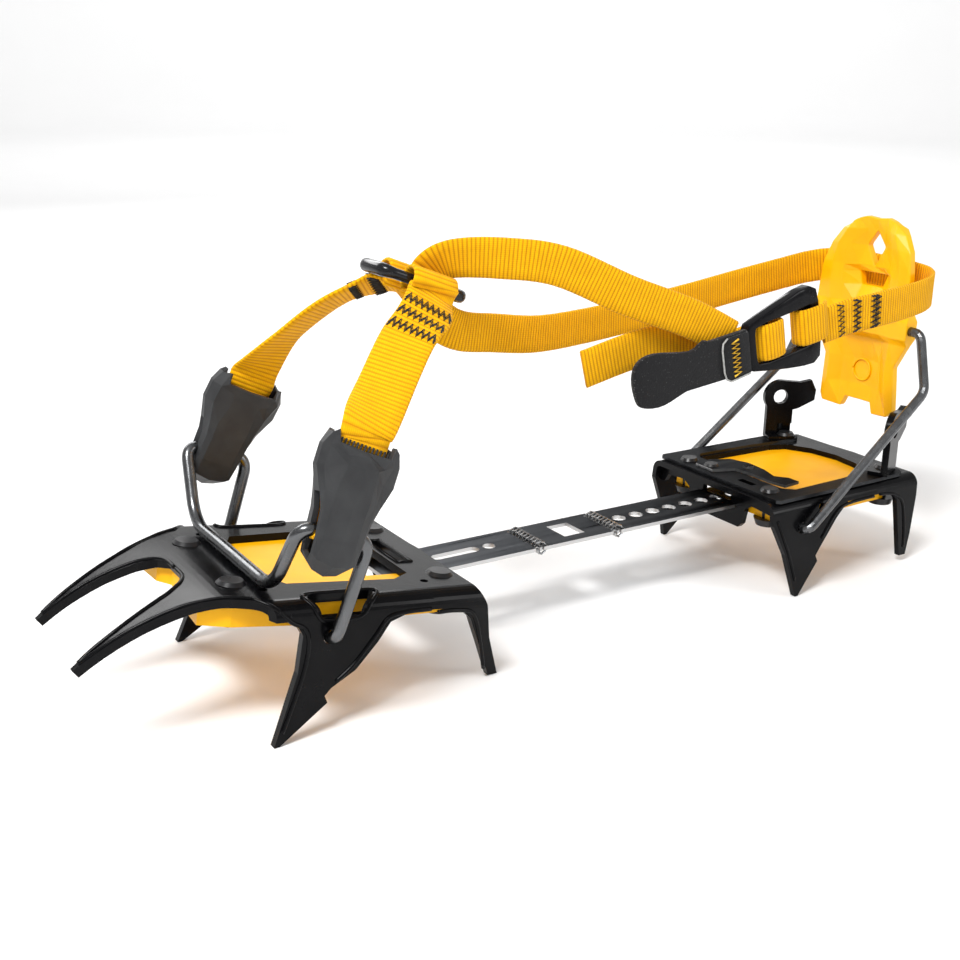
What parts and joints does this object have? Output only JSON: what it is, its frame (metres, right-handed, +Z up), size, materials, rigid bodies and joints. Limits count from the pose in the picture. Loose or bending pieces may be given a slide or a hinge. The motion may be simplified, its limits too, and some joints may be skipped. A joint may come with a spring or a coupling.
{
  "type": "ten-point crampon",
  "caption": "Walking crampon with a toe bail, an articulated length bar, a sliding heel unit with a sprung latch, a wire heel bail with a plastic cup, and webbing straps.",
  "frame": {"origin": "on the floor under the middle of the whole part", "axes": "+X from toe to heel, +Z up, -Y towards the side that carries the buckle"},
  "size_m": [0.3854, 0.1184, 0.1564],
  "materials": {
    "black_steel": "glossy black powder coat",
    "rivet_steel": "blackened steel",
    "bar_steel": "grey spring steel with bright cut edges",
    "plate_steel": "grey brushed plate",
    "wire_steel": "dark drawn wire",
    "yellow_plastic": "smooth moulded yellow",
    "yellow_cup": "moulded yellow with soft facets",
    "yellow_webbing": "ribbed polyester webbing",
    "grey_rubber": "dark grey moulded rubber",
    "black_rubber": "black moulded",
    "black_plastic": "smooth black",
    "black_felt": "napped black fabric with light specks"
  },
  "bodies": {
    "front_unit": {"front_frame": "black_steel", "front_snow_plate": "yellow_plastic", "front_rivets": "rivet_steel", "front_rivet_feet": "black_rubber", "bar_front_plate": "bar_steel"},
    "toe_bail": {"toe_bail": "wire_steel", "strap_ring": "black_plastic", "near_toe_strap": "yellow_webbing", "far_toe_strap": "yellow_webbing"},
    "near_cover": {"near_strap_cover": "grey_rubber"},
    "far_cover": {"far_strap_cover": "grey_rubber"},
    "bar_middle": {"bar_middle_plate": "bar_steel", "hinge_spring_front": "wire_steel", "hinge_spring_rear": "wire_steel"},
    "bar_rear": {"bar_rear_plate": "bar_steel"},
    "heel_unit": {"heel_frame": "black_steel", "heel_top_plate": "plate_steel", "heel_snow_plate": "yellow_plastic", "heel_rivets": "rivet_steel", "heel_rivet_feet": "black_rubber", "near_heel_post": "black_steel", "far_heel_post": "black_steel"},
    "latch": {"latch_lever": "black_steel", "latch_peg": "bar_steel", "latch_rivet": "bar_steel"},
    "heel_wire": {"heel_wire": "wire_steel"},
    "heel_cup": {"heel_cup": "yellow_cup", "long_strap": "yellow_webbing", "rear_strap_loop": "yellow_webbing", "strap_tail": "yellow_webbing", "buckle_frame": "black_plastic", "buckle_bars": "rivet_steel"},
    "pull_tab": {"pull_tab": "black_felt"}
  },
  "joints": [
    {"name": "toe_bail_hinge", "type": "hinge", "parent": "front_unit", "child": "toe_bail", "pos_m": [-0.1136, 0, 0.034], "axis": [0, 1, 0], "range_deg": [0, 35], "deforming": ["near_toe_strap", "far_toe_strap", "long_strap"]},
    {"name": "near_cover_hinge", "type": "hinge", "parent": "toe_bail", "child": "near_cover", "pos_m": [-0.1136, -0.052, 0.0725], "axis": [0.9336, 0, -0.3584], "range_deg": [-20, 15]},
    {"name": "far_cover_hinge", "type": "hinge", "parent": "toe_bail", "child": "far_cover", "pos_m": [-0.1136, 0.052, 0.0725], "axis": [0.9336, 0, -0.3584], "range_deg": [-15, 20]},
    {"name": "front_bar_hinge", "type": "hinge", "parent": "front_unit", "child": "bar_middle", "pos_m": [-0.0046, 0, 0.03225], "axis": [0, 1, 0], "range_deg": [-20, 20]},
    {"name": "rear_bar_hinge", "type": "hinge", "parent": "bar_middle", "child": "bar_rear", "pos_m": [0.0339, 0, 0.03225], "axis": [0, 1, 0], "range_deg": [-20, 20]},
    {"name": "length_slide", "type": "slide", "parent": "bar_rear", "child": "heel_unit", "axis": [1, 0, 0], "range_m": [-0.03632, 0.02724]},
    {"name": "latch_lift", "type": "hinge", "parent": "heel_unit", "child": "latch", "pos_m": [0.1029, 0.018, 0.0426], "axis": [-1, 0, 0], "range_deg": [0, 12], "stiffness_Nm_per_rad": 0.05, "springref_deg": -11.46},
    {"name": "heel_wire_hinge", "type": "hinge", "parent": "heel_unit", "child": "heel_wire", "pos_m": [0.1089, 0, 0.029], "axis": [0, 1, 0], "range_deg": [-20, 8]},
    {"name": "heel_cup_hinge", "type": "hinge", "parent": "heel_wire", "child": "heel_cup", "pos_m": [0.1794, 0, 0.104], "axis": [0, 1, 0], "range_deg": [-10, 10], "deforming": ["rear_strap_loop", "strap_tail"]},
    {"name": "pull_tab_hinge", "type": "hinge", "parent": "heel_cup", "child": "pull_tab", "pos_m": [0.06893, -0.04225, 0.10986], "axis": [-0.2079, 0, 0.9781], "range_deg": [0, 60]}
  ]
}
